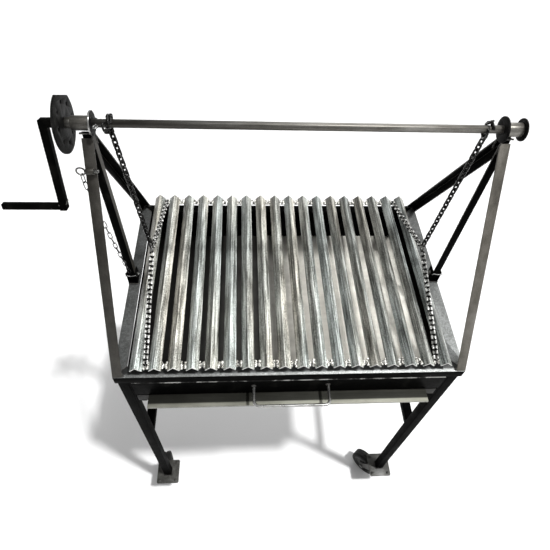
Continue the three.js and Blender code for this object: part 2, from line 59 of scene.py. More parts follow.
facing = {"side": 0.8, "end": 0.7, "ledge": 0.5, "flank": 0.3, "under": 0.1}  # share of a normal that picks a face
sideSigns = {"left": -1, "right": 1}
corners = {"front_left": (-1, -1), "front_right": (1, -1), "rear_left": (-1, 1), "rear_right": (1, 1)}
print("frame loaded")

# Places and sizes below are in millimetres, angles in degrees, and the turns of welds, of links and of the split
# pin's eye in radians. A place counts from the middle of the rim's top, and spot() turns it into the frame.
rimLow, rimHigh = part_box("rim_left")[0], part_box("rim_right")[1]
rimMiddle = Vector(((rimLow.x + rimHigh.x) / 2, (rimLow.y + rimHigh.y) / 2, rimHigh.z))
shaftHeight = 462


def spot(x, y, z):
    return rimMiddle + Vector((x, y, z)) / 1000


def onShaft(x):
    return spot(x, 0, shaftHeight)


def inWords(node):
    words = node.title().replace("_", "")
    return words[0].lower() + words[1:]


# Tools for picking, editing and dressing a piece.
def pick(piece):
    if bpy.context.object and bpy.context.object.mode != "OBJECT":
        bpy.ops.object.mode_set(mode="OBJECT")
    bpy.ops.object.select_all(action="DESELECT")
    piece.select_set(True)
    bpy.context.view_layer.objects.active = piece


def named(piece, name):
    piece.name = name
    piece.data.name = name
    return piece


def settle(piece):
    pick(piece)
    bpy.ops.object.transform_apply(location=True, rotation=True, scale=True)
    return piece


def useModifier(piece, kind, **values):
    pick(piece)
    modifier = piece.modifiers.new(kind.title(), kind)
    for key, value in values.items():
        setattr(modifier, key, value)
    bpy.ops.object.modifier_apply(modifier=modifier.name)
    return piece


def editing(piece, selectType="FACE"):
    pick(piece)
    bpy.ops.object.mode_set(mode="EDIT")
    bpy.ops.mesh.select_mode(type=selectType)
    bpy.ops.mesh.select_all(action="DESELECT")
    return bmesh.from_edit_mesh(piece.data)


def doneEditing(piece):
    bpy.ops.object.mode_set(mode="OBJECT")
    return piece


def choose(piece, selectType, wanted):
    mesh = editing(piece, selectType)
    for part in mesh.verts if selectType == "VERT" else mesh.edges:
        if wanted(part):
            part.select_set(True)
    bmesh.update_edit_mesh(piece.data)


def roundEdges(piece, width, longer=0.0, sharper=40, segments=2):
    def isSharp(edge):
        bent = len(edge.link_faces) == 2 and edge.calc_face_angle(0) > math.radians(sharper)
        return bent and edge.calc_length() > longer / 1000

    choose(piece, "EDGE", isSharp)
    bpy.ops.mesh.bevel(offset=width / 1000, segments=segments, affect="EDGES", clamp_overlap=True)
    return doneEditing(piece)


def copyOfNode(node, name=""):
    piece = bpy.data.objects.new(name or inWords(node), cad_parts[node].data.copy())
    bpy.context.scene.collection.objects.link(piece)
    piece.data.materials.clear()
    pick(piece)
    bpy.ops.mesh.customdata_custom_splitnormals_clear()
    editing(piece)
    bpy.ops.mesh.select_all(action="SELECT")
    bpy.ops.mesh.remove_doubles(threshold=2e-6)
    bpy.ops.mesh.dissolve_limited(angle_limit=math.radians(1))
    return doneEditing(piece)


def rod(name, start, end, radius, sides=24, chamfer=0.0):
    along = end - start
    bpy.ops.mesh.primitive_cylinder_add(
        vertices=sides, radius=radius / 1000, depth=along.length, location=(start + end) / 2,
        rotation=along.to_track_quat("Z", "Y").to_euler())
    piece = settle(named(bpy.context.object, name))
    if chamfer:
        roundEdges(piece, chamfer, sharper=60)
    return piece


def block(name, low, high):
    bpy.ops.mesh.primitive_cube_add(size=1, location=(low + high) / 2, scale=high - low)
    return settle(named(bpy.context.object, name))


def ringOf(name, place, turn, radius, thickness, around):
    bpy.ops.mesh.primitive_torus_add(
        location=place, rotation=turn, major_radius=radius / 1000, minor_radius=thickness / 1000,
        major_segments=around, minor_segments=12)
    return settle(named(bpy.context.object, name))


def carve(piece, tool):
    useModifier(piece, "BOOLEAN", operation="DIFFERENCE", object=tool, solver="EXACT")
    bpy.data.objects.remove(tool)
    return piece


drillOver = 2  # how far a drill stands out at both ends


def tube(name, start, end, radius, bore, sides=48, chamfer=0.8):
    over = (end - start).normalized() * drillOver / 1000
    piece = carve(rod(name, start, end, radius, sides), rod(name + "Bore", start - over, end + over, bore, sides))
    return roundEdges(piece, chamfer, sharper=60)


def wire(name, points, radius, smooth=True, sides=4):
    curve = bpy.data.curves.new(name, "CURVE")
    curve.dimensions = "3D"
    curve.bevel_depth = radius / 1000
    curve.bevel_resolution = sides
    curve.use_fill_caps = True
    curve.resolution_u = 6
    line = curve.splines.new("BEZIER" if smooth else "POLY")
    if smooth:
        line.bezier_points.add(len(points) - 1)
        for point, place in zip(line.bezier_points, points):
            point.co = place
            point.handle_left_type = point.handle_right_type = "AUTO"
    else:
        line.points.add(len(points) - 1)
        for point, place in zip(line.points, points):
            point.co = (*place, 1)
    piece = bpy.data.objects.new(name, curve)
    bpy.context.scene.collection.objects.link(piece)
    pick(piece)
    bpy.ops.object.convert(target="MESH")
    piece = named(bpy.context.object, name)
    editing(piece)
    bpy.ops.mesh.select_all(action="SELECT")
    bpy.ops.mesh.remove_doubles(threshold=1e-6)
    bpy.ops.mesh.normals_make_consistent(inside=False)
    return doneEditing(piece)


def copies(name, model, places):
    gathered = bmesh.new()
    for place in places:
        mesh = model.data.copy()
        mesh.transform(place)
        gathered.from_mesh(mesh)
        bpy.data.meshes.remove(mesh)
    mesh = bpy.data.meshes.new(name)
    gathered.to_mesh(mesh)
    gathered.free()
    piece = bpy.data.objects.new(name, mesh)
    bpy.context.scene.collection.objects.link(piece)
    return piece


def joined(name, pieces):
    pick(pieces[0])
    for piece in pieces[1:]:
        piece.select_set(True)
    bpy.ops.object.join()
    return named(bpy.context.object, name)


def paintFaces(piece, number, wanted):
    for face in piece.data.polygons:
        if wanted(face):
            face.material_index = number


def dress(piece, body, finishes, stands=None, smooth=35):
    piece.data.materials.clear()
    for finish in finishes if isinstance(finishes, list) else [finishes]:
        piece.data.materials.append(finish)
    pick(piece)
    bpy.ops.object.shade_smooth_by_angle(angle=math.radians(smooth))
    if body:
        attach(piece, body)
    if stands:
        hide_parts(stands)
    return piece


# Finishes: streaks along the metal, blotches over it and a fine tooth, from noise on the piece's own place.
# "tones" and "tints" give a colour for each height of the noise, and each of the "fades" takes the colour along
# an axis, between two places in metres, from one strength to another. A noise has one scale, or one for each
# axis. A finish only names what differs from the usual values.
grain = {"roughness": 0.62, "streakDetail": 5, "blotchDetail": 4, "toothDetail": 3, "tintDetail": 1,
         "streakSeed": 1.7, "blotchSeed": 5.1, "toothSeed": 9.3, "tintSeed": 3.3, "seedRatios": (1, 0.7, 1.3),
         "lowest": 0.3, "highest": 0.7, "bumpDepth": 0.6, "bumpTooth": 0.6, "bumpStreak": 0.4}
usual = {"metal": 0.0, "shine": 0.5, "streakShare": 0.4, "tooth": 900, "grit": 0.4, "bump": 0.3, "fades": []}


def metalFinish(name, different, gain=1.0):
    values = usual | different
    rangeSockets = ("From Min", "From Max", "To Min", "To Max")
    finish = bpy.data.materials.new(name)
    finish.use_nodes = True
    tree = finish.node_tree
    shader = tree.nodes["Principled BSDF"]
    shader.inputs["Metallic"].default_value = values["metal"]
    shader.inputs["Specular IOR Level"].default_value = values["shine"]
    place = tree.nodes.new("ShaderNodeTexCoord")

    def noise(kind, scale):
        fit = tree.nodes.new("ShaderNodeMapping")
        fit.inputs["Scale"].default_value = scale if isinstance(scale, tuple) else (scale,) * 3
        fit.inputs["Location"].default_value = [grain[kind + "Seed"] * ratio for ratio in grain["seedRatios"]]
        pattern = tree.nodes.new("ShaderNodeTexNoise")
        pattern.inputs["Scale"].default_value = 1
        pattern.inputs["Detail"].default_value = grain[kind + "Detail"]
        pattern.inputs["Roughness"].default_value = grain["roughness"]
        tree.links.new(place.outputs["Object"], fit.inputs["Vector"])
        tree.links.new(fit.outputs["Vector"], pattern.inputs["Vector"])
        return pattern.outputs["Fac"]

    def sums(kind, a, b):
        step = tree.nodes.new("ShaderNodeMath")
        step.operation = kind
        for socket, value in zip(step.inputs, (a, b)):
            if isinstance(value, (int, float)):
                socket.default_value = value
            else:
                tree.links.new(value, socket)
        return step.outputs[0]

    streaks = noise("streak", values["streak"])
    blotches = noise("blotch", values["blotch"])
    tooth = noise("tooth", values["tooth"])
    share = values["streakShare"]
    tone = sums("ADD", sums("MULTIPLY", streaks, share), sums("MULTIPLY", blotches, 1 - share))
    tone = sums("ADD", tone, sums("MULTIPLY", sums("SUBTRACT", tooth, 0.5), values["grit"]))
    ramp = tree.nodes.new("ShaderNodeValToRGB")
    while len(ramp.color_ramp.elements) < len(values["tones"]):
        ramp.color_ramp.elements.new(0.5)
    for element, (at, colour) in zip(ramp.color_ramp.elements, values["tones"]):
        element.position = at
        element.color = (*[part * gain for part in colour], 1)
    tree.links.new(tone, ramp.inputs["Fac"])
    colour = ramp.outputs["Color"]
    if "tints" in values:
        shift = noise("tint", values["tintScale"])
        hue = tree.nodes.new("ShaderNodeValToRGB")
        for element, (at, tint) in zip(hue.color_ramp.elements, values["tints"]):
            element.position = at
            element.color = (*tint, 1)
        tree.links.new(shift, hue.inputs["Fac"])
        blend = tree.nodes.new("ShaderNodeMix")
        blend.data_type = "RGBA"
        blend.blend_type = "MULTIPLY"
        blend.inputs[0].default_value = 1
        tree.links.new(colour, blend.inputs[6])
        tree.links.new(hue.outputs["Color"], blend.inputs[7])
        colour = blend.outputs[2]
    for axis, start, end, first, last in values["fades"]:
        split = tree.nodes.new("ShaderNodeSeparateXYZ")
        tree.links.new(place.outputs["Object"], split.inputs[0])
        along = tree.nodes.new("ShaderNodeMapRange")
        along.interpolation_type = "SMOOTHSTEP"
        for socket, value in zip(rangeSockets, (start, end, first, last)):
            along.inputs[socket].default_value = value
        tree.links.new(split.outputs[axis], along.inputs["Value"])
        scaled = tree.nodes.new("ShaderNodeVectorMath")
        scaled.operation = "SCALE"
        tree.links.new(colour, scaled.inputs[0])
        tree.links.new(along.outputs["Result"], scaled.inputs["Scale"])
        colour = scaled.outputs["Vector"]
    tree.links.new(colour, shader.inputs["Base Color"])
    rough = tree.nodes.new("ShaderNodeMapRange")
    for socket, value in zip(rangeSockets, (grain["lowest"], grain["highest"], *values["rough"])):
        rough.inputs[socket].default_value = value
    tree.links.new(blotches, rough.inputs["Value"])
    tree.links.new(rough.outputs["Result"], shader.inputs["Roughness"])
    bump = tree.nodes.new("ShaderNodeBump")
    bump.inputs["Strength"].default_value = values["bump"]
    bump.inputs["Distance"].default_value = grain["bumpDepth"] / 1000
    height = sums("ADD", sums("MULTIPLY", tooth, grain["bumpTooth"]), sums("MULTIPLY", streaks, grain["bumpStreak"]))
    tree.links.new(height, bump.inputs["Height"])
    tree.links.new(bump.outputs["Normal"], shader.inputs["Normal"])
    return finish


blackPaint = metalFinish("blackPaint", {
    "shine": 0.008, "streak": (40, 40, 6), "blotch": 26, "grit": 0.3, "rough": (0.4, 0.6), "bump": 0.25,
    "tones": [(0.3, (0.0006, 0.0006, 0.0007)), (0.55, (0.0018, 0.0018, 0.0017)), (0.75, (0.011, 0.0105, 0.0095))]})
postTones = {
    "metal": 0.45, "streak": (60, 60, 3), "streakShare": 0.35, "blotch": (14, 14, 9), "tooth": 700, "grit": 0.3,
    "rough": (0.38, 0.62), "tones": [(0.3, (0.05, 0.045, 0.036)), (0.48, (0.13, 0.12, 0.10)),
    (0.62, (0.22, 0.205, 0.18)), (0.78, (0.34, 0.33, 0.31))]}
# The post steel comes in copies painted with light and shade: a lit copy, a shaded copy, and a dim copy that paints
# highlights on the rounded edges of black angle.
postLitCopy = metalFinish("postLitCopy", postTones, gain=0.75)
postShadedCopy = metalFinish("postShadedCopy", postTones, gain=0.26)
edgeHighlight = metalFinish("edgeHighlight", postTones, gain=0.2)
rimTones = {
    "metal": 0.15, "shine": 0.3, "streak": 160, "streakShare": 0.45, "blotch": 16, "tooth": 420, "grit": 0.8,
    "rough": (0.34, 0.55), "bump": 0.45, "tones": [(0.28, (0.10, 0.104, 0.10)), (0.45, (0.17, 0.175, 0.17)),
    (0.6, (0.28, 0.29, 0.285)), (0.8, (0.5, 0.515, 0.515))]}
# The rail tops are copies painted with light and shade: the front top grows brighter towards the right and carries a
# painted shadow under the ends of the bars, the right top is painted darker towards the rear, and the left top is
# painted shaded all over.
rimSteel = metalFinish("rimSteel", rimTones | {"fades": [("X", -0.3, 0.3, 0.6, 2.1), ("Y", -0.281, -0.274, 1, 0.14)]})
rimSide = metalFinish("rimSide", rimTones | {"fades": [("Y", -0.26, 0.1, 1.25, 0.42)]})
rimDull = metalFinish("rimDull", rimTones | {"fades": [("Y", -0.26, 0.2, 0.4, 0.24)]})
grateTones = {
    "metal": 0.3, "streak": (210, 7, 210), "streakShare": 0.6, "blotch": (60, 9, 60), "tooth": 520, "grit": 0.5,
    "rough": (0.3, 0.52), "bump": 0.45, "fades": [("Y", -0.27, 0.1, 1.4, 1.0), ("X", 0.0, 0.3, 1.1, 0.85)],
    "tones": [(0.34, (0.03, 0.029, 0.025)), (0.43, (0.13, 0.128, 0.115)), (0.5, (0.31, 0.31, 0.29)),
    (0.58, (0.66, 0.66, 0.62)), (0.68, (1.0, 1.0, 0.96))], "tintScale": (19, 1.5, 3),
    "tints": [(0.4, (0.88, 0.95, 0.97)), (0.6, (1.0, 0.97, 0.91))]}
grateSteel = metalFinish("grateSteel", grateTones)
grateShade = metalFinish("grateShade", grateTones, gain=0.52)
cutSteel = metalFinish("cutSteel", {
    "metal": 0.5, "streak": 220, "streakShare": 0.5, "blotch": 90, "rough": (0.3, 0.5),
    "tones": [(0.3, (0.35, 0.35, 0.33)), (0.5, (0.7, 0.7, 0.68)), (0.7, (0.95, 0.95, 0.93))]})
# The near-black undersides of the bars are painted shade.
barUndersideShade = metalFinish("barUndersideShade", {
    "shine": 0.05, "streak": (60, 12, 60), "blotch": 26, "rough": (0.5, 0.7), "tones": [(0.3, (0.002, 0.002, 0.002)),
    (0.5, (0.006, 0.006, 0.0055)), (0.7, (0.02, 0.019, 0.017))]})
chainTones = {
    "metal": 0.9, "streak": 90, "streakShare": 0.5, "blotch": 70, "tooth": 1200, "grit": 0.3, "rough": (0.2, 0.4),
    "bump": 0.2, "tones": [(0.3, (0.03, 0.029, 0.026)), (0.5, (0.12, 0.12, 0.115)), (0.66, (0.40, 0.40, 0.385))]}
# Besides the plain chain steel, a dark copy paints shade and a light copy paints highlights on links.
chainSteel = metalFinish("chainSteel", chainTones)
chainShade = metalFinish("chainShade", chainTones, gain=0.16)
chainHighlight = metalFinish("chainHighlight", chainTones | {"metal": 0.2}, gain=4.0)
# The fade across X paints light on the fire plate: dark on the left and middle, much brighter towards the right.
plateSteel = metalFinish("plateSteel", {
    "metal": 0.6, "streak": (4, 14, 4), "blotch": 6, "tooth": 300, "grit": 0.1, "rough": (0.3, 0.36), "bump": 0.0,
    "fades": [("X", 0.0, 0.14, 0.2, 4.2)], "tones": [(0.3, (0.10, 0.096, 0.085)), (0.5, (0.17, 0.165, 0.148)),
    (0.7, (0.28, 0.275, 0.25))]})
panTones = {
    "metal": 0.1, "shine": 0.06, "streak": (5, 90, 90), "streakShare": 0.5, "blotch": (9, 14, 14), "tooth": 600,
    "grit": 0.2, "rough": (0.35, 0.55), "bump": 0.2, "tones": [(0.3, (0.10, 0.10, 0.082)), (0.5, (0.18, 0.18, 0.15)),
    (0.7, (0.30, 0.30, 0.255))]}
# The fades paint light and shade on the ash pan: only a front strip of the lip keeps its tone, the rest is painted
# shade under the drawer front and darker still further back, and the pan grows lighter towards the right as painted
# light.
panSteel = metalFinish("panSteel", panTones | {
    "fades": [("Y", -0.3055, -0.302, 1.2, 0.12), ("Y", -0.2825, -0.2812, 1, 0.4), ("X", -0.25, 0.3, 0.6, 1.3)]})
brightRod = metalFinish("brightRod", {
    "metal": 0.9, "streak": 60, "streakShare": 0.5, "blotch": 30, "grit": 0.2, "rough": (0.18, 0.34), "bump": 0.12,
    "tones": [(0.3, (0.16, 0.16, 0.155)), (0.5, (0.32, 0.32, 0.31)), (0.7, (0.6, 0.6, 0.59))]})
shaftTones = {
    "metal": 0.7, "streak": (4, 120, 120), "streakShare": 0.55, "blotch": (8, 30, 30), "tooth": 700, "grit": 0.25,
    "rough": (0.28, 0.5), "bump": 0.2, "tones": [(0.3, (0.035, 0.032, 0.026)), (0.47, (0.09, 0.085, 0.075)),
    (0.6, (0.19, 0.185, 0.17)), (0.75, (0.42, 0.42, 0.40))]}
# The shaft steel is painted lighter towards the right as painted light, and the left hub's copy is painted dark below
# and light on top as painted shade and highlight.
shaftSteel = metalFinish("shaftSteel", shaftTones | {"fades": [("X", -0.3, 0.4, 0.5, 1.3)]})
hubLitFromAbove = metalFinish("hubLitFromAbove", shaftTones | {"fades": [("Z", 1.392, 1.409, 0.12, 0.9)]})
discSteel = metalFinish("discSteel", {
    "shine": 0.03, "streak": 60, "blotch": 34, "tooth": 800, "grit": 0.7, "rough": (0.4, 0.6), "bump": 0.4,
    "tones": [(0.3, (0.002, 0.002, 0.002)), (0.5, (0.005, 0.005, 0.0048)), (0.68, (0.024, 0.0235, 0.0225))]})
weldMetal = metalFinish("weldMetal", {
    "metal": 0.75, "streak": 300, "streakShare": 0.5, "blotch": 140, "tooth": 1500, "rough": (0.22, 0.42),
    "bump": 0.5, "tones": [(0.34, (0.05, 0.045, 0.035)), (0.47, (0.32, 0.31, 0.28)), (0.58, (0.95, 0.95, 0.9))]})
darkWeld = metalFinish("darkWeld", {
    "metal": 0.4, "streak": 300, "streakShare": 0.5, "blotch": 120, "tooth": 1500, "rough": (0.35, 0.6), "bump": 0.5,
    "tones": [(0.3, (0.012, 0.012, 0.012)), (0.5, (0.045, 0.043, 0.04)), (0.7, (0.14, 0.13, 0.12))]})
plateBlack = metalFinish("plateBlack", {
    "metal": 0.3, "streak": 50, "blotch": 24, "tooth": 800, "grit": 0.5, "rough": (0.36, 0.6), "bump": 0.35,
    "tones": [(0.3, (0.010, 0.010, 0.009)), (0.5, (0.032, 0.031, 0.027)), (0.7, (0.10, 0.10, 0.092))]})
rubber = metalFinish("rubber", {
    "shine": 0.3, "streak": 60, "blotch": 30, "rough": (0.6, 0.85), "bump": 0.35,
    "tones": [(0.3, (0.004, 0.004, 0.004)), (0.5, (0.009, 0.009, 0.0085)), (0.7, (0.035, 0.034, 0.031))]})
wheelCentre = metalFinish("wheelCentre", {
    "shine": 0.4, "streak": 40, "blotch": 24, "grit": 0.3, "rough": (0.42, 0.6), "bump": 0.2,
    "tones": [(0.3, (0.02, 0.02, 0.02)), (0.5, (0.045, 0.045, 0.043)), (0.7, (0.10, 0.10, 0.096))]})
# The ledge finish paints bright dashes of light along the top of the drawer front, where light falls between the
# bars.
ledgeLightDashes = metalFinish("ledgeLightDashes", {
    "shine": 0.2, "streak": (1, 60, 60), "streakShare": 0.3, "blotch": (24.6, 3, 3), "tooth": 700, "grit": 0.2,
    "rough": (0.35, 0.6), "bump": 0.1, "tones": [(0.44, (0.012, 0.012, 0.011)), (0.5, (0.10, 0.10, 0.095)),
    (0.55, (0.75, 0.75, 0.72)), (0.7, (0.9, 0.9, 0.88))]})
print("finishes made")


# Frame of square tube and angle.
railEdges = {"round": 0.9, "segments": 2, "shortest": 60, "topDepth": 3.2}
tubeEdges = {"round": 2.4, "segments": 3, "shortest": 60}
angleEdges = {"round": 0.8, "segments": 2, "shortest": 15, "narrowArea": 2500}
bracketEdges = {"round": 0.6, "segments": 2, "shortest": 10}
railTopShading = {"front": rimSteel, "right": rimSide, "left": rimDull, "rear": blackPaint}


def barOfNode(node, edges, finishes):
    piece = roundEdges(copyOfNode(node), edges["round"], edges["shortest"], segments=edges["segments"])
    return dress(piece, "frame", finishes, node)


def isNarrow(face):
    return face.area * 1e6 < angleEdges["narrowArea"]


# Each rail top is painted with its own light and shade, and the rear top is painted black as shade.
for side, topShading in railTopShading.items():
    rail = barOfNode("rim_" + side, railEdges, [blackPaint, topShading])
    paintFaces(rail, 1, lambda face: face.center.z > rimMiddle.z - railEdges["topDepth"] / 1000)
for side in sideSigns:
    onLeft = side == "left"
    # The left front post is painted with the shaded copy and the right one with the lit copy, as painted shade and
    # light.
    barOfNode("front_post_" + side, angleEdges, postShadedCopy if onLeft else postLitCopy)
    rearPost = barOfNode("rear_post_" + side, angleEdges, [blackPaint, edgeHighlight])
    # The narrow rounded faces of the rear posts are painted highlights.
    paintFaces(rearPost, 1, isNarrow)
    barOfNode("side_stretcher_" + side, tubeEdges, blackPaint)
    # On the left middle post the face towards +X is painted lighter, as painted light; on the right one the narrow
    # faces are painted highlights.
    middlePaintAndLight = [blackPaint, postShadedCopy if onLeft else edgeHighlight]
    middlePost = barOfNode("middle_post_" + side, angleEdges, middlePaintAndLight)
    paintFaces(middlePost, 1, (lambda face: face.normal.x > facing["side"]) if onLeft else isNarrow)
    barOfNode("drawer_runner_" + side, railEdges, blackPaint)
    barOfNode("post_bracket_" + side, bracketEdges, blackPaint)
for corner in corners:
    barOfNode("leg_" + corner, tubeEdges, blackPaint)
print("frame dressed")


# Bearing tubes on the middle posts.
bearing = {"radius": 13, "bore": 7.9, "half": 16.5, "x": 395}
for side, sign in sideSigns.items():
    ends = [onShaft(sign * bearing["x"] + step * bearing["half"]) for step in (-1, 1)]
    piece = tube("shaftHub" + side.title(), *ends, bearing["radius"], bearing["bore"])
    # The left hub takes the copy painted with shade below and light on top.
    dress(piece, "frame", hubLitFromAbove if side == "left" else shaftSteel, "shaft_hub_" + side)


# Weld seams: a row of overlapping drops, each stretched, turned and moved a little at random.
shake = random.Random(7)
bpy.ops.mesh.primitive_ico_sphere_add(subdivisions=2, radius=0.001)
drop = settle(named(bpy.context.object, "weldDrop"))
dropStray = {"place": 0.12, "smallest": 0.8, "largest": 1.15, "turn": 3}


def seamPlaces(start, end, size, step):
    length = (end - start).length * 1000
    count = max(2, round(length / step))
    places = []
    for i in range(count):
        at = start.lerp(end, i / (count - 1))
        wobble = Vector([shake.uniform(-dropStray["place"], dropStray["place"]) * size / 1000 for _ in range(3)])
        grow = [size * shake.uniform(dropStray["smallest"], dropStray["largest"]) for _ in range(3)]
        turn, tilt = (Matrix.Rotation(shake.uniform(0, dropStray["turn"]), 4, axis) for axis in "ZX")
        places.append(Matrix.Translation(at + wobble) @ turn @ tilt @ Matrix.Diagonal((*grow, 1)))
    return places


# Each seam: its two ends on the right at the back, then the size and the step of its drops.
cornerSeams = [
    ((380, 9.4, 447), (399, 9.4, 447), 2.0, 2.1),  # sloping post to bearing tube
    ((380, 9.0, 438), (380, 9.0, 414), 2.0, 2.1),  # sloping post to middle post
    ((379, 265, 1.6), (396, 265, 1.6), 2.0, 2.1),  # foot of the sloping post, across and along the rim
    ((395.5, 264, 1.6), (395.5, 247, 1.6), 2.0, 2.1),
    ((377, 266, 1.2), (382, 262, 3.6), 2.9, 2.4),  # thick bead at that foot's corner
    ((399, 269, 0.2), (373, 243, 0.2), 1.1, 1.6)]  # mitre of the rim
bracketSeam = ((377, 14, 1.4), (399, 14, 1.4), 1.8, 2.2)
legSeam = {"x": 384.2, "y": 254.2, "z": -810.6, "half": 13.4, "size": 1.9, "step": 2.6}


def mirroredSeam(seam, sign, front):
    start, end, size, step = seam
    return seamPlaces(*(spot(sign * x, front * y, z) for x, y, z in (start, end)), size, step)


framePlaces = []
for sign in (-1, 1):
    for front in (-1, 1):
        for seam in cornerSeams:
            framePlaces += mirroredSeam(seam, sign, front)
        around = [spot(sign * legSeam["x"] + right * legSeam["half"], front * legSeam["y"] + back * legSeam["half"],
                       legSeam["z"]) for right, back in ((-1, -1), (1, -1), (1, 1), (-1, 1))]
        for start, end in zip(around, around[1:] + around[:1]):
            framePlaces += seamPlaces(start, end, legSeam["size"], legSeam["step"])
    for front in (-1, 1):
        framePlaces += mirroredSeam(bracketSeam, sign, front)
frameWelds = copies("frameWelds", drop, framePlaces)
dress(frameWelds, "frame", darkWeld, smooth=60)
print("welds laid")


# Cross bolts of the middle posts, with a washer, a nut and a bright split clip.
bolt = {"x": 388.2, "z": 24, "shank": 2.9, "tip": 17.6, "washer": 6.2, "washerFrom": 11.95, "washerThick": 0.8,
        "head": 5, "headThick": 3.4, "headRound": 0.6, "washerRound": 0.3}
clip = {"y": -14.4, "z": 36, "radius": 1.1, "route": (
    (-13, 0, -3), (-11, -1.5, 1.6), (-5, -2, 1), (0, -2, 0), (6, -2, 0.6), (11, -1.5, 1.6), (13, 0, -3))}


def hexagonHead(name, start, end, radius):
    return roundEdges(rod(name, start, end, radius, sides=6), bolt["headRound"], sharper=70)


def onBolt(x):
    return spot(x, 0, bolt["z"])


for side, sign in sideSigns.items():
    x = sign * bolt["x"]
    shankEnds = onBolt(x - bolt["tip"]), onBolt(x + bolt["tip"])
    heads = [rod("boltShank" + side, *shankEnds, bolt["shank"], sides=20, chamfer=bolt["headRound"])]
    for step in (-1, 1):
        washerAt = x + step * bolt["washerFrom"]
        headAt = washerAt + step * bolt["washerThick"]
        washerEnds = onBolt(washerAt), onBolt(headAt)
        heads.append(rod("boltWasher", *washerEnds, bolt["washer"], sides=28, chamfer=bolt["washerRound"]))
        heads.append(hexagonHead("boltHead", onBolt(headAt), onBolt(headAt + step * bolt["headThick"]), bolt["head"]))
    dress(joined("postBolt" + side.title(), heads), "frame", chainSteel, "post_bolt_" + side)
    points = [spot(x + along, clip["y"] + out, clip["z"] + rise) for along, out, rise in clip["route"]]
    dress(wire("boltClip" + side.title(), points, clip["radius"]), "frame", brightRod)
print("bolts placed")


# Hoist: shaft, index disc, washers, crank and split pin.
shaft = {"radius": 7.5, "ends": (-427.4, 418.8), "round": 0.8, "collar": 10, "collarEnds": (-421.8, -411.8),
         "collarRound": 1.2, "sides": 40}
bar = rod("shaftBar", *map(onShaft, shaft["ends"]), shaft["radius"], shaft["sides"], shaft["round"])
neck = rod("shaftCollar", *map(onShaft, shaft["collarEnds"]), shaft["collar"], shaft["sides"], shaft["collarRound"])
dress(joined("crankShaft", [bar, neck]), "hoist", shaftSteel, "crank_shaft")

disc = {"faces": (-427.1, -422.1), "radius": 53.6, "chord": 46, "chordTurn": 58.3, "holes": 8, "circle": 36,
        "hole": 3.5, "firstHole": 73.6, "drillEnds": (-430, -419), "drillPlay": 0.2, "round": 0.5}
plate = rod("indexDisc", *map(onShaft, disc["faces"]), disc["radius"], sides=96)
flat = math.radians(disc["chordTurn"])
towards = Vector((0, math.cos(flat), math.sin(flat)))
editing(plate)
bpy.ops.mesh.select_all(action="SELECT")
bpy.ops.mesh.bisect(
    plane_co=onShaft(0) + towards * disc["chord"] / 1000, plane_no=towards, use_fill=True, clear_outer=True)
doneEditing(plate)
drills = [rod("drill", *map(onShaft, disc["drillEnds"]), shaft["radius"] + disc["drillPlay"], sides=32)]
for i in range(disc["holes"]):
    angle = math.radians(disc["firstHole"]) + i * 2 * math.pi / disc["holes"]
    y, z = disc["circle"] * math.cos(angle), shaftHeight + disc["circle"] * math.sin(angle)
    drills.append(rod("drill", *(spot(x, y, z) for x in disc["drillEnds"]), disc["hole"]))
carve(plate, joined("drills", drills))
roundEdges(plate, disc["round"], sharper=60)
dress(plate, "hoist", discSteel, "index_disc")

# Each washer: where it starts and ends along the shaft, and its radius.
washers = {"inner_washer_left": (-378.2, -375.2, 22), "inner_washer_right": (375.2, 378.2, 24),
           "outer_washer_right": (411.8, 414.8, 21)}
washerForm = {"bore": 7.7, "sides": 64, "chamfer": 0.6}
for node, (start, end, radius) in washers.items():
    piece = tube(inWords(node), onShaft(start), onShaft(end), radius, **washerForm)
    dress(piece, "hoist", [discSteel, brightRod], node)
    if node == "inner_washer_left":
        # The rim of the left inner washer is painted bright as a highlight.
        paintFaces(piece, 1, lambda face: abs(face.normal.x) < facing["side"])  # only this one has a bright edge

crank = {"armRound": 1.4, "gripRound": 1.3, "lean": 16.6, "welds": ((-453.4, 155), (-467.4, 158)), "weldHalf": 6,
         "weldSize": 1.8, "weldStep": 2}
for node, edge in (("crank_arm", "armRound"), ("crank_handle", "gripRound")):
    piece = roundEdges(copyOfNode(node), crank[edge], longer=4, sharper=50, segments=3)
    dress(piece, "hoist", blackPaint, node)
lean = math.radians(crank["lean"])
downArm = Vector((0, -math.sin(lean), -math.cos(lean)))
reach = Vector((0, crank["weldHalf"] / 1000, 0))
crankWelds = []
for x, distance in crank["welds"]:
    centre = onShaft(x) + downArm * distance / 1000
    crankWelds += seamPlaces(centre - reach, centre + reach, crank["weldSize"], crank["weldStep"])
dress(copies("crankWelds", drop, crankWelds), "hoist", darkWeld, smooth=60)

splitPin = {"x": -368.5, "wire": 1.5, "round": 0.4, "eye": 4.2, "eyeY": -13.6, "eyeZ": 464,
            "eyeTurns": (-2.4, -1.6, -0.4, 0.6, 1.4), "neck": ((-1.2, -8, 463), (1.2, -8, 463)),
            "shank": ((0, -10, 463.4), (0, 9, 461)), "shankRadius": 2.2,
            "tail": ((0, 8, 461), (1.5, 12, 460), (6, 15, 460)), "tip": ((0, 8, 461), (-1, 12, 462), (-4, 14, 463))}
neckIn, neckOut, shankIn, shankOut = (
    spot(splitPin["x"] + x, y, z) for x, y, z in splitPin["neck"] + splitPin["shank"])
eye = [spot(splitPin["x"] + splitPin["eye"] * math.cos(angle), splitPin["eyeY"] + splitPin["eye"] * math.sin(angle),
            splitPin["eyeZ"]) for angle in splitPin["eyeTurns"]]
legsOfPin = [wire("pinEye", [neckIn, *eye, neckOut], splitPin["wire"]),
             rod("pinShank", shankIn, shankOut, splitPin["shankRadius"], sides=16, chamfer=splitPin["round"])]
